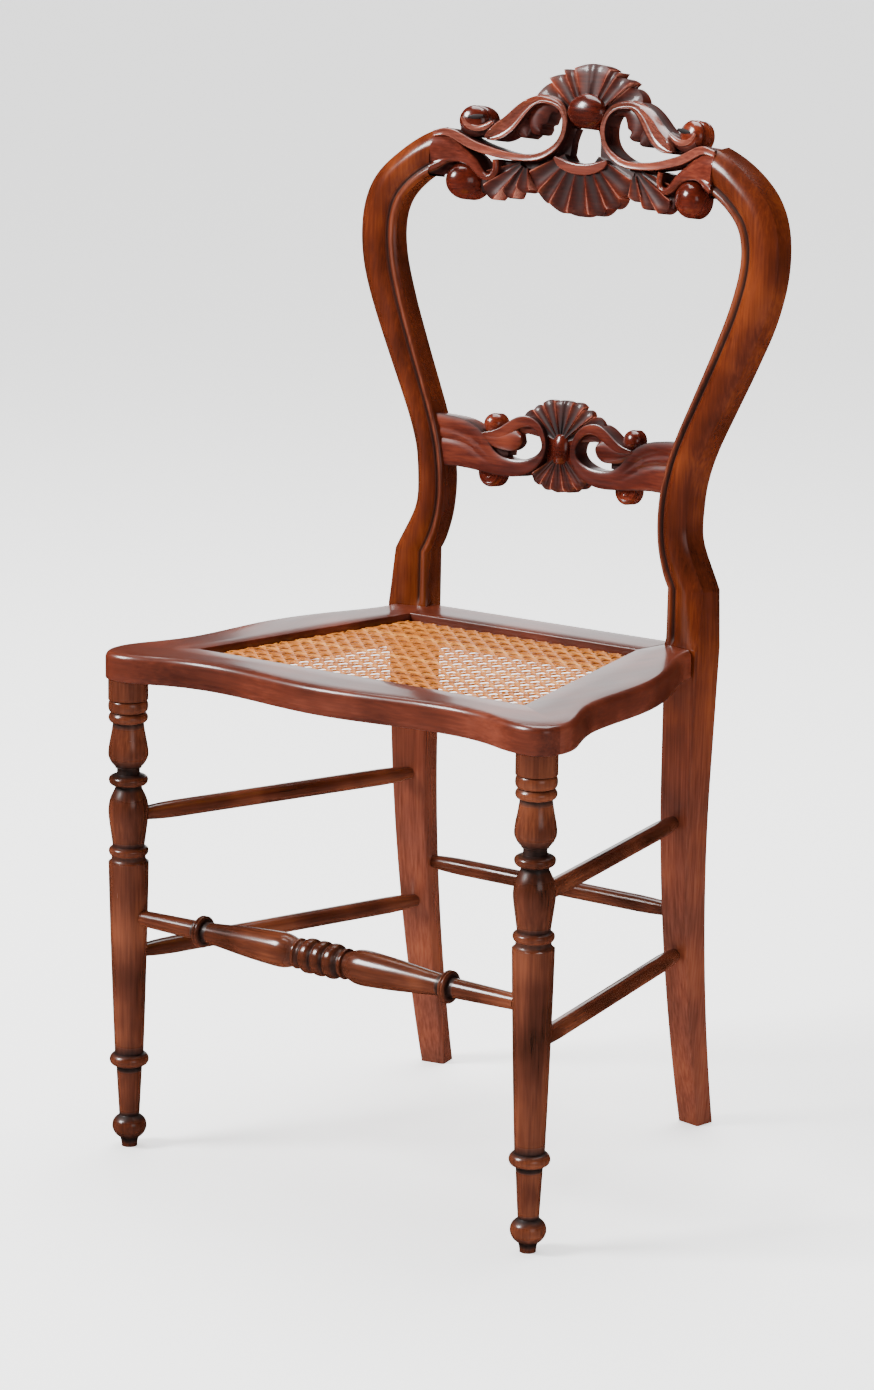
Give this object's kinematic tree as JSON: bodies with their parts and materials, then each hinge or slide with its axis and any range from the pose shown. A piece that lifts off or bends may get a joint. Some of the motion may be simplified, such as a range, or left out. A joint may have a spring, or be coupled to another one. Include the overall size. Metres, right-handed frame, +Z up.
{
  "type": "side chair",
  "caption": "Wooden side chair with turned front legs, curved moulded back posts, carved pierced rails and a caned seat.",
  "frame": {"origin": "on the floor, under the middle of the chair's outline", "axes": "+Z up; -Y towards the front of the chair, where the sitter's knees are; +X to the right of a viewer in front of it"},
  "size_m": [0.4752, 0.4198, 0.9489],
  "materials": {
    "stained_wood": "polished mahogany stain",
    "seat_wood": "polished mahogany stain, worn on top",
    "carved_wood": "polished mahogany stain with dark glaze in the hollows",
    "cane": "natural woven cane, shellacked",
    "raw_wood": "bare beech inside the joints"
  },
  "bodies": {
    "root": {"front_leg_right": "stained_wood", "front_leg_left": "stained_wood", "back_post_right": "stained_wood", "back_post_left": "stained_wood", "seat_rail_front": "seat_wood", "seat_rail_back": "seat_wood", "seat_rail_right": "seat_wood", "seat_rail_left": "seat_wood", "cane_seat": "cane", "front_stretcher": "stained_wood", "side_stretcher_upper_right": "stained_wood", "side_stretcher_upper_left": "stained_wood", "side_stretcher_lower_right": "stained_wood", "side_stretcher_lower_left": "stained_wood", "back_stretcher": "stained_wood", "crest_rail": "carved_wood", "mid_rail": "carved_wood", "crest_slip_tenons": "raw_wood", "seat_slip_tenons": "raw_wood", "seat_corner_tongues": "raw_wood"}
  },
  "joints": []
}
